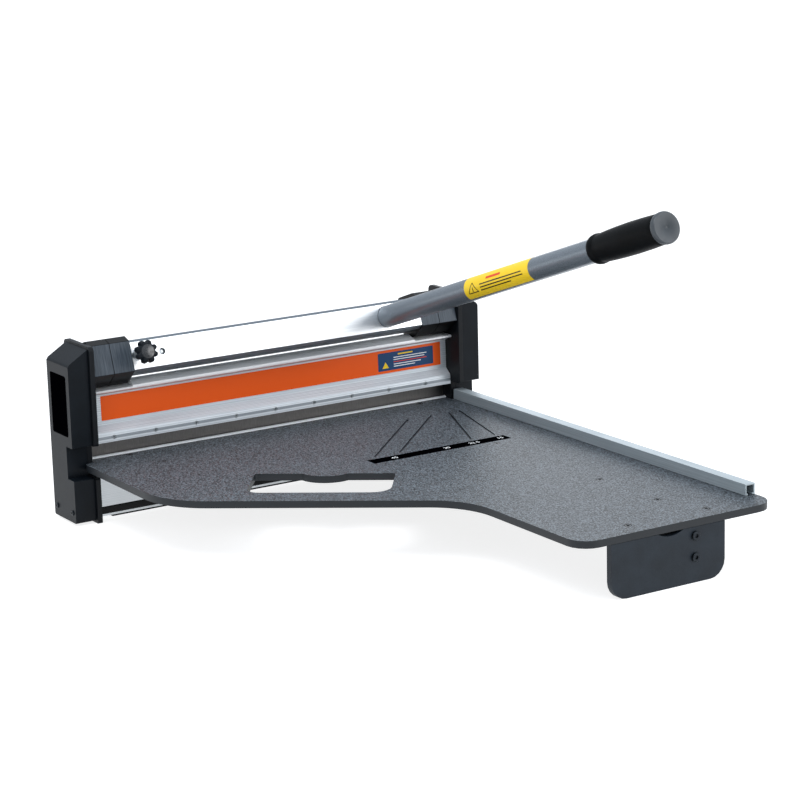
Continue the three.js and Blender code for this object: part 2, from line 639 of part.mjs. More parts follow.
function leverParts() {
  add("lever_beam", leverBeam(), "bare_aluminium", lever);
  for (const [side, sign] of SIDES) {
    const inner = BEAM_HALF + GAP;
    const outer = inner + CAM_LONG + 0.6;
    add(`${side}_inner_cam`, cam(...span(sign, inner, inner + CAM_LONG)), "black_plastic", lever);
    add(`${side}_outer_cam`, cam(...span(sign, outer, outer + 23)), "black_plastic", lever);
    add(`${side}_pivot_pin`, pivotPin(sign), "zinc_steel", lever);
  }
  add("handle_tube", handleTube(), "tube_paint", lever);
  add("handle_grip", handleGrip(), "rubber", lever);
  add("grip_end_cap", gripEndCap(), "tube_paint", lever);
  const collar = ring("y", 3.4, 6.2, -FACE - 6.5, -FACE - GAP, [KNOB_X, 0, 0], 20);
  add("lock_collar", collar, "zinc_steel", lever);
  add("lock_screw", rod("y", 3, -48, -12, [KNOB_X, 0, 0], 16), "zinc_steel", lever);
  add("star_knob", starKnob(), "black_plastic", lever);
}

frameParts();
tableParts();
carrierParts();
leverParts();

export default part;
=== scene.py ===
# %% [markdown]
# # A lever guillotine for flooring boards
#
# A 460 mm blade rides in an aluminium carrier. Four eccentric cams on a lever beam push the
# carrier down past an anvil strip, beside a flat table with a side fence. The solids come from
# the CAD model, which also says what turns and slides. This script gives each solid its
# material, adds the turned, printed and moulded detail, and lights the whole. Lengths are in
# metres; +X runs along the blade, +Y to the rear and +Z up.

# %% Load the CAD frame
import json
import math

import bmesh
import bpy
from mathutils import Matrix, Vector


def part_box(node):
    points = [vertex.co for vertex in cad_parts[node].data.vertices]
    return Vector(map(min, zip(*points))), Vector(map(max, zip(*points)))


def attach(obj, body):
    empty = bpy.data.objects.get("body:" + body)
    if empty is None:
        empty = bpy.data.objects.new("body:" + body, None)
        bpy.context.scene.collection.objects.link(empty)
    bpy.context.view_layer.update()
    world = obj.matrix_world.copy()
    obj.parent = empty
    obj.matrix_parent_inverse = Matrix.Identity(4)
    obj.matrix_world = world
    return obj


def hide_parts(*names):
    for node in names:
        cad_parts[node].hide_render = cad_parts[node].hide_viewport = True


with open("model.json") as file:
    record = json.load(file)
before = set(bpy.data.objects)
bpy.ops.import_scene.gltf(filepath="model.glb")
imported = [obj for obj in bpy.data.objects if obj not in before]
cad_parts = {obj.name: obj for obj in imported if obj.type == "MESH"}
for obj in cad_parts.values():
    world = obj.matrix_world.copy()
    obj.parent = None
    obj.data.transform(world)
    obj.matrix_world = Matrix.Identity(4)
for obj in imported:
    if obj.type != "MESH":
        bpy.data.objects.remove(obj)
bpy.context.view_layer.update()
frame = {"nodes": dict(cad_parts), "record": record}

MM = 0.001

# %% [markdown]
# ## How the materials are made
#
# Each material starts from the real stuff and how its surface was made, and is named for both.
# Colours are sRGB hex numbers, as on a paint chart, and Blender's shaders want linear light, so
# one function turns them. One more function adds a shader node, fills its inputs and links it.
# Object coordinates are metres in the frame of the whole part, so a texture scale of 1 / size
# gives a pattern of that size, whatever the piece.

# %% Colour and node helpers
def linear(hex_colour):
    channels = [int(hex_colour[i : i + 2], 16) / 255 for i in (1, 3, 5)]
    return [c / 12.92 if c < 0.04045 else ((c + 0.055) / 1.055) ** 2.4 for c in channels] + [1.0]


def put(owner, kind, inputs=None, **settings):
    """Adds a node. Each input is a constant, an output socket, or a node whose output is used."""
    tree = owner.node_tree
    node = tree.nodes.new(kind)
    for key, value in settings.items():
        setattr(node, key, value)
    for key, value in (inputs or {}).items():
        if isinstance(value, bpy.types.Node):
            value = next(socket for socket in value.outputs if socket.enabled)
        if isinstance(value, bpy.types.NodeSocket):
            tree.links.new(value, node.inputs[key])
        else:
            node.inputs[key].default_value = value
    return node


def blank(name):
    """A material with no nodes yet."""
    material = bpy.data.materials.new(name)
    material.use_nodes = True
    material.node_tree.nodes.clear()
    return material


def surface(material, look):
    """Closes a material: the look's constants and sockets go on the shader itself."""
    shader = put(material, "ShaderNodeBsdfPrincipled", look)
    put(material, "ShaderNodeOutputMaterial", {"Surface": shader})
    return material


MIX_A, MIX_B = 6, 7  # the two colour inputs of a Mix node
NOISE_LOW, NOISE_HIGH = 0.3, 0.7  # most of a noise lies between these
print("helpers ready")

# %% [markdown]
# ## Bare and plated metal
#
# Aluminium pushed through a die, drawn wire and ground steel all carry fine lines along the way
# they were worked. To the eye the lines spread the shine across them and dapple the tone. The
# lines could be an image, or an anisotropic shader that needs tangents. A noise drawn out along
# one axis shows the same, and it needs neither. Real die lines are about 0.1 mm apart, which is
# too fine to show at this distance, so they are drawn 0.35 to 0.5 mm apart. A second, wide noise
# varies the roughness, as handling does.

# %% The pattern of worked metal
LONG = 400  # how many times longer than wide a die line is


def worked_lines(material, dark, light, roughness, line_mm, along, depth_mm):
    """The look of metal with lines: colour, roughness and relief, ready for the shader."""
    place = put(material, "ShaderNodeTexCoord").outputs["Object"]
    drawn_out = put(material, "ShaderNodeMapping",
                    {"Vector": place, "Scale": [1 / length for length in along]})
    lines = put(material, "ShaderNodeTexNoise",
                {"Vector": drawn_out, "Scale": 1 / (line_mm * MM), "Detail": 3.0})
    share = put(material, "ShaderNodeMapRange",
                {"Value": lines, "From Min": NOISE_LOW, "From Max": NOISE_HIGH})
    colour = put(material, "ShaderNodeMix",
                 {"Factor": share, MIX_A: linear(dark), MIX_B: linear(light)}, data_type="RGBA")
    handling = put(material, "ShaderNodeTexNoise", {"Vector": place, "Scale": 1 / (35 * MM)})
    shine = put(material, "ShaderNodeMapRange",
                {"Value": handling, "From Min": NOISE_LOW, "From Max": NOISE_HIGH,
                 "To Min": roughness - 0.05, "To Max": roughness + 0.07})
    relief = put(material, "ShaderNodeBump", {"Height": lines, "Distance": depth_mm * MM})
    return {"Base Color": colour, "Roughness": shine, "Normal": relief, "Metallic": 1.0}


def worked_metal(name, dark, light, roughness, line_mm, along, depth_mm, metallic=1.0):
    material = blank(name)
    look = worked_lines(material, dark, light, roughness, line_mm, along, depth_mm)
    look["Metallic"] = metallic
    return surface(material, look)


print("lines up to", LONG, "times as long as wide")

# %% [markdown]
# The base beam is a plain aluminium extrusion, a pale grey with its lines along the blade. The
# fence is the same metal with a clear anodised skin: greyer, and its lines run front to back.
# Tool steel comes off the grinder warm grey, with short lines from edge to spine. Zinc plate is
# even and bright, black oxide is a dark skin on screws, and sintered bronze is yellow and dull
# from its pores.

# %% The metals
# Name, dark and light tone, roughness, line width in mm, stretch along X, Y and Z, depth in mm
extruded = worked_metal("Aluminium, extruded", "#b9bfc4", "#e2e6e9", 0.45, 0.5, (LONG, 1, 1),
                        0.012)
fence_metal = worked_metal("Aluminium, extruded and clear anodised", "#98a3a8", "#b4bdc1", 0.45,
                           0.4, (1, LONG, 1), 0.01, metallic=0.5)
ground_steel = worked_metal("Tool steel, surface ground", "#7c7976", "#8a8784", 0.42, 0.4,
                            (1, 1, 12), 0.004)
zinc = worked_metal("Steel, zinc plated", "#a6abad", "#c9cdd0", 0.3, 1.2, (1, 1, 1), 0.01)
spring_steel = worked_metal("Steel, drawn spring wire", "#54575a", "#85898b", 0.3, 0.2, (1, 1, 8),
                            0.01)
black_oxide = worked_metal("Steel, turned and black oxide", "#1d2023", "#3a3e43", 0.34, 0.6,
                           (1, 1, 1), 0.01)
bronze = worked_metal("Bronze, sintered", "#8a6230", "#b98a4d", 0.42, 0.4, (1, 1, 1), 0.02)
print(len(bpy.data.materials), "materials so far")

# %% [markdown]
# ### The blade carrier's ribs
#
# The carrier is one long extrusion, and its die leaves fine ribs along it. The real ones are
# closer together; they are drawn 2.4 mm apart so that they show. They could be cut in the mesh,
# which would take thousands of faces. They are shallow, so relief and a painted shade in each
# valley do as well. Their height is a sine of y + z, a sum that rises along the ledge, the roof
# and the upright alike. Bead blasting leaves the metal more white than mirror, which a metallic
# value under 1 gives. The roof is painted plain white, as painted light. A line of painted shade
# runs under the lower lip, along the screws of the blade clamp.

# %% Ribs along the carrier
RIB_MM, RIB_DEEP_MM = 2.4, 0.03
VALLEY_SHADE = 0.35  # how dark the painted shade in a valley is, where 1 is the grey #858c92 below

carrier_metal = blank("Aluminium, extruded with ribs, bead blasted")
look = worked_lines(carrier_metal, "#c2c8cd", "#e4e8eb", 0.5, 0.5, (LONG, 1, 1), 0.012)
place = put(carrier_metal, "ShaderNodeTexCoord").outputs["Object"]
part = put(carrier_metal, "ShaderNodeSeparateXYZ", {"Vector": place}).outputs
rise = put(carrier_metal, "ShaderNodeMath", {0: part["Y"], 1: part["Z"]}, operation="ADD")
turns = put(carrier_metal, "ShaderNodeMath", {0: rise, 1: 2 * math.pi / (RIB_MM * MM)},
            operation="MULTIPLY")
ribs = put(carrier_metal, "ShaderNodeMath", {0: turns}, operation="SINE")
# A rib's valley is painted darker, towards the grey #858c92: painted shade in the recess.
valley = put(carrier_metal, "ShaderNodeMapRange",
             {"Value": ribs, "From Min": -1.0, "From Max": -0.4, "To Min": VALLEY_SHADE,
              "To Max": 0.0})
print("ribs", RIB_MM, "mm apart")

# %% The painted shade line, the painted white roof and the carrier's metal
SHADE_LINE_MM = (85.9, 88.7)  # height in mm of a line of painted shade under the lower lip, at the blade screws
CLAMP_SHADE = 0.8
ROOF_FROM = 137.5  # height in mm of the roof's lower edge, above which the roof is painted white as painted light

# Between these heights the colour is darkened towards #858c92: painted shade under the lip.
over = put(carrier_metal, "ShaderNodeMath", {0: part["Z"], 1: SHADE_LINE_MM[0] * MM},
           operation="GREATER_THAN")
under = put(carrier_metal, "ShaderNodeMath", {0: part["Z"], 1: SHADE_LINE_MM[1] * MM},
            operation="LESS_THAN")
shade_line_mask = put(carrier_metal, "ShaderNodeMath", {0: over, 1: under}, operation="MULTIPLY")
dull = put(carrier_metal, "ShaderNodeMath", {0: shade_line_mask, 1: CLAMP_SHADE}, operation="MULTIPLY")
shade = put(carrier_metal, "ShaderNodeMath", {0: valley, 1: dull}, operation="MAXIMUM")
# Above the roof's lower edge the colour is painted plain white #ffffff: painted light.
roof_painted_light = put(carrier_metal, "ShaderNodeMath", {0: part["Z"], 1: ROOF_FROM * MM},
              operation="GREATER_THAN")
plain = put(carrier_metal, "ShaderNodeMix",
            {"Factor": roof_painted_light, MIX_A: look["Base Color"], MIX_B: linear("#ffffff")},
            data_type="RGBA")
look["Base Color"] = put(carrier_metal, "ShaderNodeMix",
                         {"Factor": shade, MIX_A: plain, MIX_B: linear("#858c92")},
                         data_type="RGBA")
look["Normal"] = put(carrier_metal, "ShaderNodeBump",
                     {"Height": ribs, "Distance": RIB_DEEP_MM * MM, "Normal": look["Normal"]})
look["Metallic"] = 0.45
surface(carrier_metal, look)
print("dull line", round(SHADE_LINE_MM[1] - SHADE_LINE_MM[0], 1), "mm wide, roof from", ROOF_FROM, "mm")

# %% [markdown]
# ### The lever beam's brushed face
#
# The beam is a hollow box section whose flat front face is brushed bright. Its other faces are
# painted a dark grey, as painted shade on the faces that turn away from the front. The two could
# be split into two meshes; here the shader asks which way the surface points instead, in the
# piece's own coordinates, so it stays right as the beam turns.

# %% The beam's metal
BRUSHED_AT, PAINTED_SHADE_AT = -0.94, -0.9  # how far along Y the surface points where each is complete

beam_metal = blank("Aluminium, extruded, front face brushed")
look = worked_lines(beam_metal, "#d9dcde", "#f4f5f6", 0.34, 0.35, (LONG, 1, 1), 0.006)
points = put(beam_metal, "ShaderNodeTexCoord").outputs["Normal"]
facing = put(beam_metal, "ShaderNodeSeparateXYZ", {"Vector": points}).outputs["Y"]
brushed = put(beam_metal, "ShaderNodeMapRange",
              {"Value": facing, "From Min": BRUSHED_AT, "From Max": PAINTED_SHADE_AT, "To Min": 1.0,
               "To Max": 0.0})
# Faces that turn from the front are painted the dark grey #6f777e: painted shade.
look["Base Color"] = put(beam_metal, "ShaderNodeMix",
                         {"Factor": brushed, MIX_A: linear("#6f777e"),
                          MIX_B: look["Base Color"]}, data_type="RGBA")
surface(beam_metal, look)
print("beam: brushed in front, dull elsewhere")

# %% [markdown]
# ## Coatings, plastic and rubber
#
# Powder coat, moulded ABS, nylon and rubber are all near black here, and the eye tells them
# apart by their skins. Powder flows into an orange peel of about 0.9 mm. A mould cut by sparks
# leaves a fine, even matt on ABS. Rubber is pebbled and dull. One function makes them all from
# two close tones, a skin of bumps of a real size, and a roughness that follows the bumps. The
# tones are slightly blue, as carbon black looks under white light, and the specular level is
# low, because such a rough skin traps light.

# %% Moulded and coated skins
def skin(name, dark, light, roughness, bump_mm, depth_mm, specular=0.5):
    material = blank(name)
    place = put(material, "ShaderNodeTexCoord").outputs["Object"]
    bumps = put(material, "ShaderNodeTexNoise",
                {"Vector": place, "Scale": 1 / (bump_mm * MM), "Detail": 2.0})
    cloud = put(material, "ShaderNodeTexNoise", {"Vector": place, "Scale": 1 / (22 * MM)})
    share = put(material, "ShaderNodeMapRange",
                {"Value": cloud, "From Min": NOISE_LOW, "From Max": NOISE_HIGH})
    colour = put(material, "ShaderNodeMix",
                 {"Factor": share, MIX_A: linear(dark), MIX_B: linear(light)}, data_type="RGBA")
    shine = put(material, "ShaderNodeMapRange",
                {"Value": bumps, "From Min": NOISE_LOW, "From Max": NOISE_HIGH,
                 "To Min": roughness - 0.06, "To Max": roughness + 0.1})
    relief = put(material, "ShaderNodeBump", {"Height": bumps, "Distance": depth_mm * MM})
    return surface(material, {"Base Color": colour, "Roughness": shine, "Normal": relief,
                              "Specular IOR Level": specular})


# Name, dark and light tone, roughness, bump width and depth in mm, specular level
powder = skin("Powder coat, satin black, baked on steel", "#0a0d11", "#0e1216", 0.42, 0.9, 0.03,
              0.18)
abs_plastic = skin("ABS, moulded, spark textured", "#080d12", "#0c1218", 0.38, 0.5, 0.02, 0.14)
rubber = skin("Rubber, moulded and pebbled", "#020304", "#050709", 0.5, 0.8, 0.06, 0.08)
foot_rubber = skin("Rubber, cut from sheet", "#0a0b0c", "#121314", 0.7, 0.6, 0.05, 0.25)
white_strip = skin("Polyethylene, natural white, sawn", "#eef0f0", "#fafbfb", 0.45, 2.0, 0.02)
cap_plastic = skin("Polypropylene, moulded grey", "#34393d", "#3f4449", 0.4, 0.6, 0.01, 0.35)
sawn_board = skin("Phenolic board, sawn", "#151c23", "#1c242c", 0.5, 1.0, 0.03, 0.25)
polished = skin("Phenolic, moulded and polished", "#121417", "#1b1d20", 0.2, 1.5, 0.004, 0.7)
print("eight skins made")

# %% [markdown]
# ### The cams
#
# The cams are glass-filled nylon. Their front faces are milled flat, so they show fine upright
# tool marks, and they are painted a lighter grey than the rolling faces, as painted sheen. The
# rolling faces stay as moulded, black and slicker. As on the beam, the way the surface points in
# its own coordinates picks the two tones.

# %% The cams' nylon
MILL_MM = 1.1  # real marks are about 0.3 mm; drawn coarser so that they show
SHEEN_FULL_AT, SHEEN_NONE_AT = -0.94, -0.88  # where the front's painted sheen is complete and where none is left, as on the beam

cam_nylon = blank("Nylon, glass filled, milled and painted sheen in front")
place = put(cam_nylon, "ShaderNodeTexCoord").outputs
upright = put(cam_nylon, "ShaderNodeMapping", {"Vector": place["Object"], "Scale": [1, 0.05, 0.05]})
marks = put(cam_nylon, "ShaderNodeTexNoise",
            {"Vector": upright, "Scale": 1 / (MILL_MM * MM), "Detail": 2.0})
facing = put(cam_nylon, "ShaderNodeSeparateXYZ", {"Vector": place["Normal"]}).outputs["Y"]
milled = put(cam_nylon, "ShaderNodeMapRange",
             {"Value": facing, "From Min": SHEEN_FULL_AT, "From Max": SHEEN_NONE_AT, "To Min": 1.0,
              "To Max": 0.0})
# The milled front is painted a lighter, streaked grey: painted sheen, streaked along the tool
# marks. The rolling faces keep the nylon's black.
marks_and_painted_sheen = put(cam_nylon, "ShaderNodeMix",
             {"Factor": marks, MIX_A: linear("#232930"), MIX_B: linear("#525a62")},
             data_type="RGBA")
colour = put(cam_nylon, "ShaderNodeMix",
             {"Factor": milled, MIX_A: linear("#040506"), MIX_B: marks_and_painted_sheen}, data_type="RGBA")
relief = put(cam_nylon, "ShaderNodeBump", {"Height": marks, "Distance": 0.02 * MM})
surface(cam_nylon, {"Base Color": colour, "Roughness": 0.34, "Normal": relief,
                    "Specular IOR Level": 0.16})
print("tool marks", MILL_MM, "mm apart")

# %% [markdown]
# ### The handle's paint
#
# The steel handle tube is sprayed with grey metallic paint: aluminium flakes in a grey binder
# under a thin clear coat. Flakes are some 0.03 mm across, far too fine to see, so they are drawn
# at 0.35 mm. Half a metal and half a plastic, it needs a metallic value between the two, and the
# clear coat adds the sharper of its two shines.

# %% Metallic paint
FLAKE_MM, PEEL_MM = 0.35, 1.6

tube_paint = blank("Paint, grey metallic, sprayed on steel tube")
place = put(tube_paint, "ShaderNodeTexCoord").outputs["Object"]
flakes = put(tube_paint, "ShaderNodeTexNoise",
             {"Vector": place, "Scale": 1 / (FLAKE_MM * MM), "Detail": 1.0})
share = put(tube_paint, "ShaderNodeMapRange",
            {"Value": flakes, "From Min": 0.35, "From Max": 0.65})
colour = put(tube_paint, "ShaderNodeMix",
             {"Factor": share, MIX_A: linear("#586068"), MIX_B: linear("#868f97")},
             data_type="RGBA")
peel = put(tube_paint, "ShaderNodeTexNoise", {"Vector": place, "Scale": 1 / (PEEL_MM * MM)})
relief = put(tube_paint, "ShaderNodeBump", {"Height": peel, "Distance": 0.01 * MM})
surface(tube_paint, {"Base Color": colour, "Roughness": 0.36, "Metallic": 0.6, "Normal": relief,
                     "Coat Weight": 0.3, "Coat Roughness": 0.12})
print("flakes drawn at", FLAKE_MM, "mm")

# %% [markdown]
# ## The table's board
#
# The table is a phenolic board: paper soaked in resin and pressed between textured plates, so
# its two skins are pebbled and speckled while its sawn edges are smooth, darker and bluish. The
# pebbles are 2 mm cells, which a Voronoi texture draws as rounded bumps, and the specks are
# 1.5 mm of noise. Where the surface turns from level to upright the finish changes, and so it
# does below the skin, in the angle grooves and the screw pockets.

# %% Pebbled and speckled skin
PEBBLE_MM, SPECK_MM = 2.0, 1.5

board = blank("Phenolic board, pressed pebbled skin, sawn edge")
place = put(board, "ShaderNodeTexCoord").outputs["Object"]
cells = put(board, "ShaderNodeTexVoronoi", {"Vector": place, "Scale": 1 / (PEBBLE_MM * MM)})
specks = put(board, "ShaderNodeTexNoise",
             {"Vector": place, "Scale": 1 / (SPECK_MM * MM), "Detail": 1.5})
cloud = put(board, "ShaderNodeTexNoise", {"Vector": place, "Scale": 1 / (30 * MM)})
speck_share = put(board, "ShaderNodeMapRange",
                  {"Value": specks, "From Min": 0.42, "From Max": 0.62})
speckled = put(board, "ShaderNodeMix",
               {"Factor": speck_share, MIX_A: linear("#0a0d10"), MIX_B: linear("#656d74")},
               data_type="RGBA")
cloud_share = put(board, "ShaderNodeMapRange", {"Value": cloud, "To Max": 0.18})
pressed = put(board, "ShaderNodeMix",
              {"Factor": cloud_share, MIX_A: speckled, MIX_B: linear("#2c3033")}, data_type="RGBA")
print("pebbles", PEBBLE_MM, "mm, specks", SPECK_MM, "mm")

# %% Sawn edge, and where each finish shows
CUT_BELOW = 63.7 * MM  # a level face lower than this was cut by a tool
PEBBLE_DEEP_MM = 0.3

edge = put(board, "ShaderNodeMix",
           {"Factor": cloud, MIX_A: linear("#0a0f14"), MIX_B: linear("#11181e")}, data_type="RGBA")
normal = put(board, "ShaderNodeNewGeometry").outputs["Normal"]
facing = put(board, "ShaderNodeSeparateXYZ", {"Vector": normal}).outputs["Z"]
level = put(board, "ShaderNodeMapRange", {"Value": facing, "From Min": 0.8, "From Max": 0.97})
height = put(board, "ShaderNodeSeparateXYZ", {"Vector": place}).outputs["Z"]
uncut = put(board, "ShaderNodeMath", {0: height, 1: CUT_BELOW}, operation="GREATER_THAN")
is_skin = put(board, "ShaderNodeMath", {0: level, 1: uncut}, operation="MULTIPLY")
colour = put(board, "ShaderNodeMix", {"Factor": is_skin, MIX_A: edge, MIX_B: pressed},
             data_type="RGBA")
bumps = put(board, "ShaderNodeMath", {0: cells.outputs["Distance"], 1: is_skin},
            operation="MULTIPLY")
relief = put(board, "ShaderNodeBump", {"Height": bumps, "Distance": PEBBLE_DEEP_MM * MM})
surface(board, {"Base Color": colour, "Roughness": 0.46, "Normal": relief,
                "Specular IOR Level": 0.4})
print("tool marks below", round(CUT_BELOW / MM, 1), "mm")

# %% [markdown]
# ## Printed films
#
# Labels are vinyl: one flat ink under a thin gloss. Pressed on by hand, the film ripples a
# little, and that ripple is what makes it look like film and not like paint.

# %% Films and inks
def film(name, colour, roughness=0.36, specular=0.25):
    material = blank(name)
    place = put(material, "ShaderNodeTexCoord").outputs["Object"]
    ripple = put(material, "ShaderNodeTexNoise", {"Vector": place, "Scale": 1 / (4 * MM)})
    shine = put(material, "ShaderNodeMapRange",
                {"Value": ripple, "To Min": roughness - 0.06, "To Max": roughness + 0.08})
    relief = put(material, "ShaderNodeBump", {"Height": ripple, "Distance": 0.02 * MM})
    return surface(material, {"Base Color": linear(colour), "Roughness": shine, "Normal": relief,
                              "Specular IOR Level": specular})


orange = film("Vinyl, printed orange", "#ec580d")
blue = film("Vinyl, printed blue", "#0f3d68")
yellow = film("Vinyl, printed yellow", "#ecc726")
red_ink = film("Ink, screen printed red", "#d8452a")
white_ink = film("Ink, screen printed white", "#eceeee")
black_ink = film("Ink, screen printed black", "#0b0b0c")
black_film = film("Vinyl, printed black", "#010102", 0.6, 0.0)
print("films made")

# %% [markdown]
# ## Dressing the CAD solids
#
# The CAD solids come in as sharp facets. No real edge is that sharp: moulded edges are round by
# about 1 mm and cut aluminium is broken by a few tenths, and those small rounds are what catch
# the light. Remodelling every piece would do it. Four modifiers do it too, and leave the solids'
# own points alone: a weld joins the split corners, a planar decimation drops the lines inside
# flat faces, a bevel rounds what is still sharp, and weighted normals shade the curved facets
# as one surface. A bevel only cuts corners off, so nothing grows.

# %% One material and one edge radius, in mm, for each finish of the CAD record
FINISH_OF = {
    "coated_black": (powder, 0.5),
    "black_plastic": (abs_plastic, 0.9),
    "bare_aluminium": (extruded, 0.3),
    "blade_steel": (ground_steel, 0.0),
    "zinc_steel": (zinc, 0.3),
    "dark_steel": (black_oxide, 0.15),
    "spring_steel": (spring_steel, 0.0),
    "bronze": (bronze, 0.1),
    "table_board": (board, 0.7),
    "board_edge": (sawn_board, 0.7),
    "fence_aluminium": (fence_metal, 0.25),
    "tube_paint": (tube_paint, 0.4),
    "rubber": (foot_rubber, 0.3),
    "scale_film": (black_film, 0.0),
}
OWN_FINISH = {"lever_beam": beam_metal, "blade_carrier": carrier_metal, "anvil_strip": white_strip,
              "base_inlay": foot_rubber}
ROUND_FROM = 32  # an edge is rounded if its two faces meet at more degrees than this


def round_edges(piece, radius_mm):
    weld = piece.modifiers.new("Weld split corners", "WELD")
    weld.merge_threshold = 0.01 * MM
    flat = piece.modifiers.new("Merge flat facets", "DECIMATE")
    flat.decimate_type = "DISSOLVE"
    flat.angle_limit = math.radians(0.3)
    if radius_mm:
        bevel = piece.modifiers.new("Round the edges", "BEVEL")
        bevel.width = radius_mm * MM
        bevel.segments = 2
        bevel.limit_method = "ANGLE"
        bevel.angle_limit = math.radians(ROUND_FROM)
    piece.modifiers.new("Weighted normals", "WEIGHTED_NORMAL").keep_sharp = False
    for polygon in piece.data.polygons:
        polygon.use_smooth = True


finishes = {entry["node"]: entry["material_slot"] for entry in frame["record"]["subparts"]}
for name, solid in frame["nodes"].items():
    material, radius_mm = FINISH_OF[finishes[name]]
    if name.endswith("_cam"):
        material = cam_nylon
    if name.startswith("blade_screw"):
        material = zinc
    solid.data.materials.clear()
    solid.data.materials.append(OWN_FINISH.get(name, material))
    round_edges(solid, radius_mm)
print("dressed", len(finishes), "solids")

# %% [markdown]
# ## Tools for the added pieces
#
# The grip, the knob, the caps and the labels need more shape than the CAD gives them. Most are
# a row of rings with a skin between them: a turned piece is a row of circles, a label is two
# copies of its outline. So one function skins rings, and small ones make the rings. Each new
# piece then rides on a body of the CAD model, so that it moves with the joints.

# %% Skinning rings
CREASE_FROM = 38  # an edge stays sharp if its two faces meet at more degrees than this


def box_of(name):
    low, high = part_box(name)
    return Vector(low), Vector(high)


def new_piece(name, points, faces, material, body, place=Matrix()):
    mesh = bpy.data.meshes.new(name)
    mesh.from_pydata([place @ Vector(point) for point in points], [], faces)
    mesh.validate()
    work = bmesh.new()
    work.from_mesh(mesh)
    bmesh.ops.recalc_face_normals(work, faces=work.faces)
    work.to_mesh(mesh)
    work.free()
    mesh.materials.append(material)
    piece = bpy.data.objects.new(name, mesh)
    bpy.context.scene.collection.objects.link(piece)
    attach(piece, body)
    return piece


def skin_rings(name, rings, material, body, place=Matrix(), endless=False):
    """A skin over rings of equally many points, with an end on the first and the last."""
    count = len(rings[0])
    points = [point for ring in rings for point in ring]
    faces = []
    for i in range(len(rings) if endless else len(rings) - 1):
        a, b = i * count, (i + 1) % len(rings) * count
        faces += [(a + k, a + (k + 1) % count, b + (k + 1) % count, b + k) for k in range(count)]
    if not endless:
        faces += [tuple(range(count)), tuple(range(len(points) - count, len(points)))]
    piece = new_piece(name, points, faces, material, body, place)
    for polygon in piece.data.polygons:
        polygon.use_smooth = True
    piece.data.set_sharp_from_angle(angle=math.radians(CREASE_FROM))
    return piece


def turned(profile, sides=96, wave=lambda angle: 0.0):
    """Circles along Y from pairs of distance and radius in mm, with a wave round the rim."""
    angles = [2 * math.pi * k / sides for k in range(sides)]
    rings = []
    for along, radius in profile:
        rim = [(a, radius + wave(a)) for a in angles]
        rings.append([(r * math.cos(a) * MM, along * MM, r * math.sin(a) * MM) for a, r in rim])
    return rings


def axes(x, y, z, origin):
    """The place of a piece whose own axes point along x, y and z."""
    rotation = Matrix((Vector(x), Vector(y), Vector(z))).transposed().to_4x4()
    return Matrix.Translation(origin) @ rotation


print("tools ready")

# %% [markdown]
# ## The lever
#
# At rest the handle rises at 18.37 degrees towards the front, and everything on the lever is
# turned or drilled along that line. So the pieces are made along their own Y and put in place
# once, by axes that follow the lever. The middle of each comes from the CAD solid that it dresses.

# %% The lever's directions
RISE = math.radians(18.37)
inward = Vector((0, math.cos(RISE), -math.sin(RISE)))  # from the grip towards the beam
above = Vector((0, math.sin(RISE), math.cos(RISE)))
across = Vector((1, 0, 0))
cam_centre = Vector((0, -3 * MM, 167 * MM))


def on_lever(node):
    low, high = box_of(node)
    return axes(across, inward, above, cam_centre + across * (low.x + high.x) / 2)


handle_place, knob_place = on_lever("handle_tube"), on_lever("star_knob")
print("handle at x", round(handle_place.translation.x / MM, 1), "mm")

# %% [markdown]
# ### Grip and end cap
#
# The grip is a moulded rubber sleeve, rolled over at its neck and swelling to the palm, with a
# flat plastic cap pressed into the end of the tube. A subdivision surface would need guard
# loops at the roll. Turning a profile gives the roll its true radius, and the sleeve is an
# endless row of rings, since it is open inside.

# %% Grip, cap and plug
GRIP = [(-443, 12.9), (-443.2, 14.2), (-444.4, 15.2), (-447, 15.6), (-450, 15.4), (-452, 14.6),
        (-454, 14.5), (-458, 14.9), (-470, 15.5), (-485, 16.0), (-505, 16.3), (-530, 16.0),
        (-545, 15.5), (-551, 15.3), (-552, 14.7), (-552, 12.9)]
CAP = [(-558.1, 1.2), (-558.4, 2.2), (-559, 3.0), (-559, 14.9), (-558.2, 15.7), (-556.8, 16.1),
       (-554.4, 16.1), (-553, 15.8), (-552.4, 15.0), (-552.4, 9.8)]
PLUG = [(-552.4, 9.6), (-540, 9.6), (-539, 8.8)]

grip = skin_rings("grip_sleeve", turned(GRIP), rubber, "lever", handle_place, endless=True)
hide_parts("handle_grip")
cap = skin_rings("grip_cap", turned(CAP), cap_plastic, "lever", handle_place)
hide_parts("grip_end_cap")
skin_rings("grip_cap_plug", turned(PLUG), rubber, "lever", handle_place)
print("grip", GRIP[0][0] - GRIP[-1][0], "mm long")

# %% [markdown]
# ### Star knob
#
# The knob that locks the lever is a moulded star with eight broad lobes and narrow finger
# valleys, and a polished disc pressed into its face. It could be cut with eight rods. A radius
# that dips eight times a turn is one short formula, and raising the cosine to a power keeps the
# valleys narrow and the lobes broad.

# %% Knob, hub, disc and the screw beside it
LOBES = 8
LOBE_OUT, VALLEY_DEEP = 1.5, 3.1  # mm


def lobes(angle):
    """How far the rim stands out in mm: LOBE_OUT on the lobes, less in the valleys."""
    return LOBE_OUT - VALLEY_DEEP * ((1 + math.cos(LOBES * angle)) / 2) ** 2


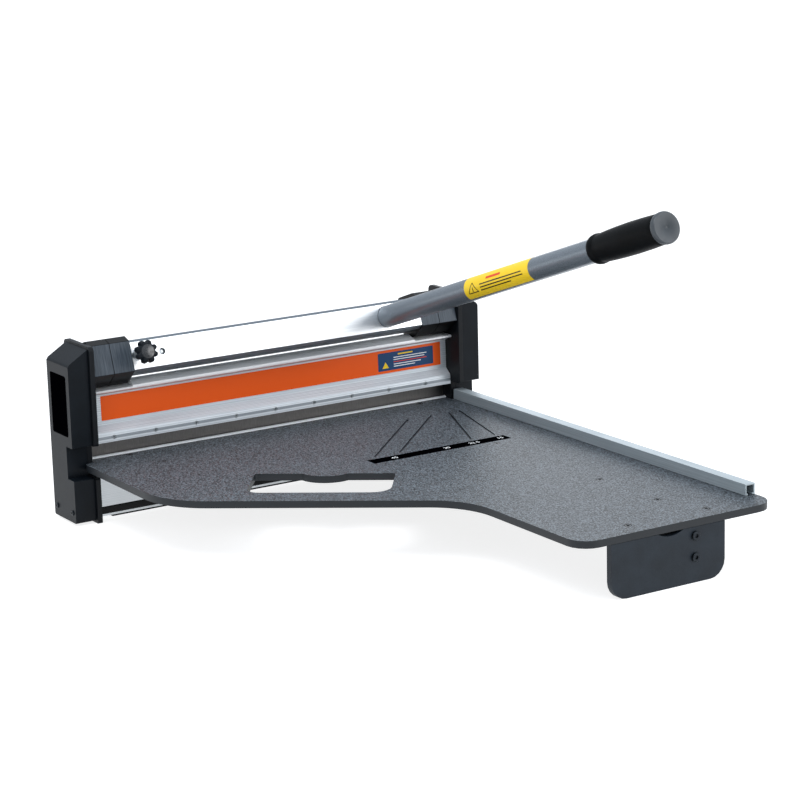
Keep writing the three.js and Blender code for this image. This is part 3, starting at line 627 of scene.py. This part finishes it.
RIM = [(-53.5, 8.4), (-53.1, 9.8), (-52.2, 10.8), (-50.5, 11.3), (-46.5, 11.3), (-44.8, 10.8),
       (-43.8, 9.6)]
HUB = [(-43.7, 7.0), (-41, 6.9), (-39.8, 6.5), (-39.5, 5.6)]
DISC = [(-54.3, 0.6), (-54.2, 3.0), (-53.9, 5.4), (-53.5, 7.4)]
SET_SCREW = [(-23.4, 1.2), (-23.3, 2.6), (-23, 3.1), (-20, 3.2)]
SCREW_BESIDE = 30 * MM  # from the knob's middle to the set screw's

star = skin_rings("knob_star", turned(RIM, 160, lobes), abs_plastic, "knob", knob_place)
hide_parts("star_knob")
skin_rings("knob_hub", turned(HUB), abs_plastic, "knob", knob_place)
skin_rings("knob_dome", turned(DISC), polished, "knob", knob_place)
screw_place = Matrix.Translation(across * SCREW_BESIDE) @ knob_place
skin_rings("beam_set_screw", turned(SET_SCREW), zinc, "lever", screw_place)
print("knob with", LOBES, "lobes, rim", 2 * (max(r for _, r in RIM) + LOBE_OUT), "mm across")

# %% [markdown]
# ## The anvil's lip
#
# The anvil is a strip of white polyethylene, which the blade may touch without harm. Its top
# swells a little above the table once the strip is pressed home, so it shows as a bright line
# below the blade. It is one section, a low dome, pushed along the strip.

# %% Domed lip along the anvil
anvil_low, anvil_high = box_of("anvil_strip")
LIP_MM = 1.5
LIP_STEPS = 8
FULLNESS = 0.4  # 1 gives a half wave; less gives a flatter top and steeper sides
dome = [
    (anvil_low.y + (anvil_high.y - anvil_low.y) * k / LIP_STEPS,
     anvil_high.z + 0.02 * MM + LIP_MM * MM * math.sin(math.pi * k / LIP_STEPS) ** FULLNESS)
    for k in range(LIP_STEPS + 1)
]
skin_rings("anvil_lip", [[(x, y, z) for y, z in dome] for x in (anvil_low.x, anvil_high.x)],
           white_strip, "frame")
print("lip", round((anvil_high.x - anvil_low.x) / MM), "mm long")

# %% [markdown]
# ## Labels
#
# Each label is a thin film with rounded corners, and its prints lie one to five hundredths of a
# millimetre above it, so that no two faces share a plane. They could be drawn in a shader. As
# thin pieces they keep crisp edges however close one looks, and each ink keeps its own finish.
# The words of a real label are left out: plain bars and a plain triangle keep its layout.

# %% Outlines and films
def rounded_box(width, height, radius, steps=6):
    """Corners of a rounded rectangle about the origin, in mm."""
    x, y = width / 2 - radius, height / 2 - radius
    return [
        (cx + radius * math.cos(math.radians(first + 90 * k / steps)),
         cy + radius * math.sin(math.radians(first + 90 * k / steps)))
        for cx, cy, first in ((x, y, 0), (-x, y, 90), (-x, -y, 180), (x, -y, 270))
        for k in range(steps + 1)
    ]


def lay_film(name, outline, thickness_mm, material, body, place):
    under = [(x * MM, y * MM, 0) for x, y in outline]
    over = [(x, y, thickness_mm * MM) for x, y, _ in under]
    return skin_rings(name, [under, over], material, body, place)


print("corner of", len(rounded_box(1, 1, 0.1)) // 4, "points")

# %% Places on the carrier's upright face
FACE_TOP = Vector((0, -7.3 * MM, 132.8 * MM))  # the carrier's upright face leans back a little
FACE_LOW = Vector((0, -8.0 * MM, 99.8 * MM))
up_face = (FACE_TOP - FACE_LOW).normalized()
out_of_face = across.cross(up_face)


def on_carrier(x_mm, z_mm, lift_mm):
    share = (z_mm * MM - FACE_LOW.z) / (FACE_TOP.z - FACE_LOW.z)
    point = FACE_LOW.lerp(FACE_TOP, share) + across * x_mm * MM + out_of_face * lift_mm * MM
    return axes(across, up_face, out_of_face, point)


lean = math.degrees(math.atan2(up_face.y, up_face.z))
print("the face leans back", round(lean, 1), "degrees")

# %% The orange label and its blue panel
LABEL_X, LABEL_Z = (-212.5, 222.0), (104.3, 131.2)  # where each starts and ends, in mm
PANEL_X, PANEL_TALL = (137.0, 212.0), 21.0
PRINT_LIFT = 0.2  # the prints lie this far off the metal, just above both films
label_z = sum(LABEL_Z) / 2
lay_film("label_orange", rounded_box(LABEL_X[1] - LABEL_X[0], LABEL_Z[1] - LABEL_Z[0], 0.8), 0.1,
         orange, "carrier", on_carrier(sum(LABEL_X) / 2, label_z, 0.02))
lay_film("label_blue", rounded_box(PANEL_X[1] - PANEL_X[0], PANEL_TALL, 1.0), 0.06, blue,
         "carrier", on_carrier(sum(PANEL_X) / 2, label_z, 0.13))
lay_film("label_triangle", [(-4.3, -3.4), (4.3, -3.4), (0, 3.8)], 0.04, yellow, "carrier",
         on_carrier(PANEL_X[0] + 10, label_z - 4.2, PRINT_LIFT))
print("label", LABEL_X[1] - LABEL_X[0], "mm long")

# %% Bars in place of words
HEADING_THICK, BAR_THICK = 1.5, 0.9
# Each bar: start and end from the panel's left edge and height from its middle in mm, ink.
BARS = [(27, 47, 7.2, yellow), (21, 66, 3.8, white_ink), (21, 63, 1.2, white_ink),
        (21, 66, -1.4, red_ink), (21, 58, -4.0, white_ink), (21, 50, -6.6, white_ink)]
for row, (start, end, z, ink) in enumerate(BARS):
    thick = HEADING_THICK if row == 0 else BAR_THICK
    lay_film(f"label_bar_{row + 1}", rounded_box(end - start, thick, 0.3), 0.04, ink, "carrier",
             on_carrier(PANEL_X[0] + (start + end) / 2, label_z + z, PRINT_LIFT))
print(len(BARS), "bars")

# %% [markdown]
# ### The sleeve label on the handle
#
# A yellow label is wrapped round the tube. A flat film would need bending by a modifier. It is
# simpler to think in millimetres along the tube and degrees round it, and to place each point
# straight on the cylinder. A printed line is then a narrow strip with points often enough to
# follow the curve.

# %% Films and lines round the tube
TUBE_R = 12.5
WRAP_MM = 0.05  # how thick the film is
INK_FROM, INK_TO = 0.13, 0.17  # the ink's under and upper side, in mm off the tube


def on_tube(along_mm, degrees, lift_mm):
    angle, radius = math.radians(degrees), (TUBE_R + lift_mm) * MM
    return (radius * math.cos(angle), -along_mm * MM, radius * math.sin(angle))


def wrapped(name, start, end, first, last, lift_mm, material, steps=36):
    """A film between two distances along and two angles round the tube."""
    turns = [first + (last - first) * k / steps for k in range(steps + 1)]
    rings = []
    for along in (start, end):
        outside = [on_tube(along, a, lift_mm + WRAP_MM) for a in turns]
        rings.append(outside + [on_tube(along, a, lift_mm) for a in turns[::-1]])
    return skin_rings(name, rings, material, "lever", handle_place)


def printed_line(name, start, end, wide_mm, ink, steps=8):
    """A line between two points given in mm along and degrees round the tube."""
    round_mm = math.radians(1) * TUBE_R
    a, b = (Vector((along, degrees * round_mm)) for along, degrees in (start, end))
    half = Vector((a.y - b.y, b.x - a.x)).normalized() * wide_mm / 2
    rings = []
    for k in range(steps + 1):
        middle = a.lerp(b, k / steps)
        edges = [(middle + half, INK_FROM), (middle + half, INK_TO), (middle - half, INK_TO),
                 (middle - half, INK_FROM)]
        rings.append([on_tube(point.x, point.y / round_mm, lift) for point, lift in edges])
    return skin_rings(name, rings, ink, "lever", handle_place)


print("one degree round the tube is", round(math.radians(1) * TUBE_R, 2), "mm")

# %% The sleeve label and its print, in mm from the beam's middle and degrees round the tube
STICKER, STICKER_TURN = (211, 335), (20, 240)
TRIANGLE = [(218, 206), (237, 206), (227.5, 156)]
FIRST_ROW, ROW_APART = 174, 15

wrapped("sticker_yellow", *STICKER, *STICKER_TURN, 0.03, yellow)
for k in range(3):
    printed_line(f"sticker_triangle_{k + 1}", TRIANGLE[k], TRIANGLE[(k + 1) % 3], 1.0, black_ink)
printed_line("sticker_dash", (227.5, 201), (227.5, 178), 1.3, black_ink)
printed_line("sticker_heading", (254, 151), (282, 151), 2.6, red_ink)
for row, end in enumerate((322, 324, 300)):
    row_at = FIRST_ROW + ROW_APART * row
    printed_line(f"sticker_bar_{row + 1}", (242, row_at), (end, row_at), 1.2, black_ink)
print("sleeve label", STICKER[1] - STICKER[0], "mm long")

# %% [markdown]
# ### The panel on the left cover
#
# The left cover has a plain black panel on its outer face. It could be a second material on some
# of the cover's faces. A film of its own gets its rounded corners without cutting the cover. It is
# blacker and duller than the moulded plastic round it, so it reads as a separate piece.

# %% Black panel
COVER_PANEL = (38, 66)  # width and height in mm
COVER_PANEL_Y, COVER_PANEL_Z = -5, 129.5  # its middle, in mm
cover_low, _ = box_of("left_cover")
panel_middle = Vector((cover_low.x - 0.02 * MM, COVER_PANEL_Y * MM, COVER_PANEL_Z * MM))
panel_place = axes((0, -1, 0), (0, 0, 1), (-1, 0, 0), panel_middle)
lay_film("cover_panel", rounded_box(*COVER_PANEL, 2.5), 0.1, black_film, "frame", panel_place)
print("panel at x", round(cover_low.x / MM, 1), "mm")

# %% [markdown]
# ## The angle scale
#
# A black strip let into the table names the angle of each groove. Numbers on a scale are read
# by a person at the front, so they stand upright towards the front edge. Blender's own font
# gives the outlines, and the text is turned into a mesh so that it needs no font later.

# %% Numbers on the strip
strip_low, strip_high = box_of("scale_strip")
strip_y = (strip_low.y + strip_high.y) / 2
NUMBER_TALL = 8.0
NUMBERS = (("45", 35), ("30", 101.5), ("22.5", 137), ("15", 171))  # angle, place along X in mm

for text, x in NUMBERS:
    letters = bpy.data.curves.new("number " + text, "FONT")
    letters.body, letters.size = text, NUMBER_TALL * MM
    letters.align_x, letters.align_y = "CENTER", "CENTER"
    letters.extrude = 0.02 * MM
    shape = bpy.data.objects.new(letters.name, letters)
    mesh = bpy.data.meshes.new_from_object(shape)
    bpy.data.objects.remove(shape)
    place = Matrix.Translation((x * MM, strip_y, strip_high.z + 0.03 * MM))
    new_piece("number_" + text.replace(".", "_"), [v.co[:] for v in mesh.vertices],
              [tuple(p.vertices) for p in mesh.polygons], white_ink, "frame", place)
print("numbers", NUMBER_TALL, "mm tall at y", round(strip_y / MM, 1), "mm")

# %% [markdown]
# ## Stage, light and camera
#
# Tools are often pictured on a light table: a floor of opal acrylic with a soft glow of its own,
# which leaves only a faint shadow under the piece. It reaches past the view on every side. The
# sky of the scene stands for the soft light above and the walls: bright overhead, dimmer at the
# height of the eye, so that upright black faces stay black, bright edges show and the tube gets
# its light and dark bands. Three lamps add direction.

# %% Floor
GLOW = 0.82  # light that the floor sends out itself, where 1 is white
REACH = 14.0  # m from the middle to each side
floor_mesh = bpy.data.meshes.new("floor")
floor_mesh.from_pydata([(-REACH, -REACH, 0), (REACH, -REACH, 0), (REACH, REACH, 0),
                        (-REACH, REACH, 0)], [], [(0, 1, 2, 3)])
floor = bpy.data.objects.new("floor", floor_mesh)
acrylic = blank("Acrylic, opal white, lit from below")
place = put(acrylic, "ShaderNodeTexCoord").outputs["Object"]
matt = put(acrylic, "ShaderNodeTexNoise", {"Vector": place, "Scale": 1 / (3 * MM)})
relief = put(acrylic, "ShaderNodeBump", {"Height": matt, "Distance": 0.01 * MM})
surface(acrylic, {"Base Color": linear("#a4a4a4"), "Roughness": 0.9, "Specular IOR Level": 0.1,
                  "Normal": relief, "Emission Color": linear("#ffffff"), "Emission Strength": GLOW})
floor_mesh.materials.append(acrylic)
bpy.context.scene.collection.objects.link(floor)
print("floor", 2 * REACH, "m wide")

# %% Sky
WALLS, OVERHEAD = 0.5, 1.5  # strength at eye height and straight up
DAYLIGHT = "#edf5ff"  # a studio flash is slightly blue

world = bpy.data.worlds.new("White studio")
world.use_nodes = True
world.node_tree.nodes.clear()
toward = put(world, "ShaderNodeTexCoord").outputs["Generated"]
steep = put(world, "ShaderNodeSeparateXYZ", {"Vector": toward}).outputs["Z"]
strength = put(world, "ShaderNodeMapRange", {"Value": steep, "To Min": WALLS, "To Max": OVERHEAD})
sky = put(world, "ShaderNodeBackground", {"Color": linear(DAYLIGHT), "Strength": strength})
put(world, "ShaderNodeOutputWorld", {"Surface": sky})
bpy.context.scene.world = world
bpy.context.scene.view_settings.view_transform = "Standard"
print("sky from", WALLS, "to", OVERHEAD)

# %% Lamps
def soft_lamp(name, place, aim, size, power):
    data = bpy.data.lights.new(name, "AREA")
    data.shape, data.size, data.energy = "DISK", size, power
    lamp = bpy.data.objects.new(name, data)
    lamp.location = place
    lamp.rotation_euler = (Vector(aim) - Vector(place)).to_track_quat("-Z", "Y").to_euler()
    bpy.context.scene.collection.objects.link(lamp)


middle = (0.0, -0.25, 0.1)
soft_lamp("key lamp, left", (-1.0, -0.6, 2.4), middle, 1.4, 30)
soft_lamp("front lamp, for the beam's face", (1.8, -2.4, 1.1), middle, 1.6, 26)
soft_lamp("rear lamp, for the table's sheen", (1.7, 1.9, 0.75), middle, 1.1, 5)
print("three lamps")

# %% [markdown]
# The camera looks down a long lens from the left of the front, as a catalogue would, so that
# near and far edges stay almost parallel.

# %% Camera
AZIMUTH, ELEVATION, ROLL = (math.radians(v) for v in (-32.16, 13.605, -1.488))
DISTANCE = 2.808  # m
LENS_MM, SENSOR_MM = 113.35, 36
AIM = Vector((0.118, -0.083, 0.0918))
backward = Vector((math.sin(AZIMUTH) * math.cos(ELEVATION),
                   -math.cos(AZIMUTH) * math.cos(ELEVATION), math.sin(ELEVATION)))
rightward = Vector((math.cos(AZIMUTH), math.sin(AZIMUTH), 0))
camera = bpy.data.objects.new("camera", bpy.data.cameras.new("camera"))
camera.data.lens, camera.data.sensor_width = LENS_MM, SENSOR_MM
upright_view = Matrix((rightward, backward.cross(rightward), backward)).transposed()
turn = (upright_view @ Matrix.Rotation(ROLL, 3, "Z")).to_4x4()
camera.matrix_world = Matrix.Translation(AIM + backward * DISTANCE) @ turn
bpy.context.scene.collection.objects.link(camera)
bpy.context.scene.camera = camera
print("camera at", [round(v, 3) for v in camera.matrix_world.translation])
